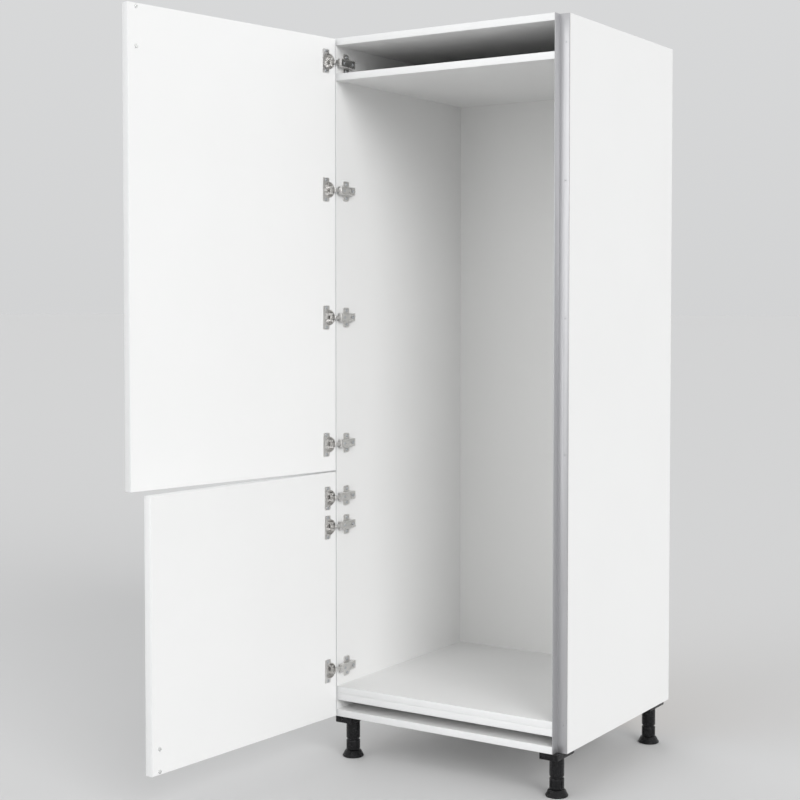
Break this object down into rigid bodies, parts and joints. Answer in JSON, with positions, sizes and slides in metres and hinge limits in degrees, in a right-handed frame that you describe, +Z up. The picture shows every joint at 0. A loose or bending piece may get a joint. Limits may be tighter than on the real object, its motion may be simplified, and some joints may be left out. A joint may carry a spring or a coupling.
{
  "type": "appliance housing cabinet",
  "caption": "Tall fitted-kitchen cabinet that houses a built-in appliance, with hinged doors, a vertical grip recess and height-adjustable feet.",
  "frame": {"origin": "on the floor that the appliance stands on, midway between the flanks and midway between the front and rear edges", "axes": "+Z up; the doors' side, the front, faces -Y; +X to the right as seen from the front"},
  "size_m": [0.7018, 1.1431, 1.66],
  "materials": {
    "carcass_board": "white melamine, fine satin grain",
    "door_board": "white coated front, satin",
    "back_board": "white lacquered fibre board",
    "edge_band": "white edge band",
    "recess_profile": "satin anodised, light grey",
    "hinge_metal": "nickel-plated pressed steel",
    "screw_metal": "zinc-plated steel",
    "beech": "bare beech",
    "buffer": "clear soft plastic",
    "foot_plastic": "black moulded plastic"
  },
  "bodies": {
    "carcass": {"left_side": "carcass_board", "right_side": "carcass_board", "top_board": "carcass_board", "fixed_shelf": "carcass_board", "floor_board_upper": "carcass_board", "floor_board_lower": "carcass_board", "bottom_board": "carcass_board", "back_panel": "back_board", "carcass_edge_bands": "edge_band", "grip_recess_profile": "recess_profile", "profile_screws": "screw_metal", "dowels": "beech", "cam_locks": "screw_metal", "cam_bolts": "screw_metal", "floor_screws": "screw_metal", "back_panel_screws": "screw_metal", "upper_mounting_plates": "hinge_metal", "lower_mounting_plates": "hinge_metal", "plate_screws": "screw_metal", "upper_hinge_arms": "hinge_metal", "lower_hinge_arms": "hinge_metal", "arm_fixing_screws": "screw_metal", "arm_setting_screws": "screw_metal", "leg_heads": "foot_plastic", "leg_head_screws": "screw_metal", "leg_sleeves": "foot_plastic"},
    "upper_door_leaf": {"upper_door": "door_board", "upper_door_bands": "edge_band", "upper_door_buffers": "buffer", "upper_hinge_cups": "hinge_metal", "upper_cup_screws": "screw_metal", "upper_hinge_pins": "screw_metal"},
    "lower_door_leaf": {"lower_door": "door_board", "lower_door_bands": "edge_band", "lower_door_buffers": "buffer", "lower_hinge_cups": "hinge_metal", "lower_cup_screws": "screw_metal", "lower_hinge_pins": "screw_metal"},
    "front_left_foot": {"front_left_adjuster": "foot_plastic", "front_left_pad": "foot_plastic"},
    "front_right_foot": {"front_right_adjuster": "foot_plastic", "front_right_pad": "foot_plastic"},
    "rear_left_foot": {"rear_left_adjuster": "foot_plastic", "rear_left_pad": "foot_plastic"},
    "rear_right_foot": {"rear_right_adjuster": "foot_plastic", "rear_right_pad": "foot_plastic"}
  },
  "joints": [
    {"name": "upper_door_hinge", "type": "hinge", "parent": "carcass", "child": "upper_door_leaf", "pos_m": [-0.29148, -0.29098, 0.995], "axis": [0, 0, -1], "range_deg": [-100, 10]},
    {"name": "lower_door_hinge", "type": "hinge", "parent": "carcass", "child": "lower_door_leaf", "pos_m": [-0.29148, -0.29098, 0.215], "axis": [0, 0, -1], "range_deg": [-94, 16]},
    {"name": "front_left_foot_travel", "type": "slide", "parent": "carcass", "child": "front_left_foot", "axis": [0, 0, -1], "range_m": [-0.0025, 0.025]},
    {"name": "front_right_foot_travel", "type": "slide", "parent": "carcass", "child": "front_right_foot", "axis": [0, 0, -1], "range_m": [-0.0025, 0.025]},
    {"name": "rear_left_foot_travel", "type": "slide", "parent": "carcass", "child": "rear_left_foot", "axis": [0, 0, -1], "range_m": [-0.0025, 0.025]},
    {"name": "rear_right_foot_travel", "type": "slide", "parent": "carcass", "child": "rear_right_foot", "axis": [0, 0, -1], "range_m": [-0.0025, 0.025]}
  ]
}
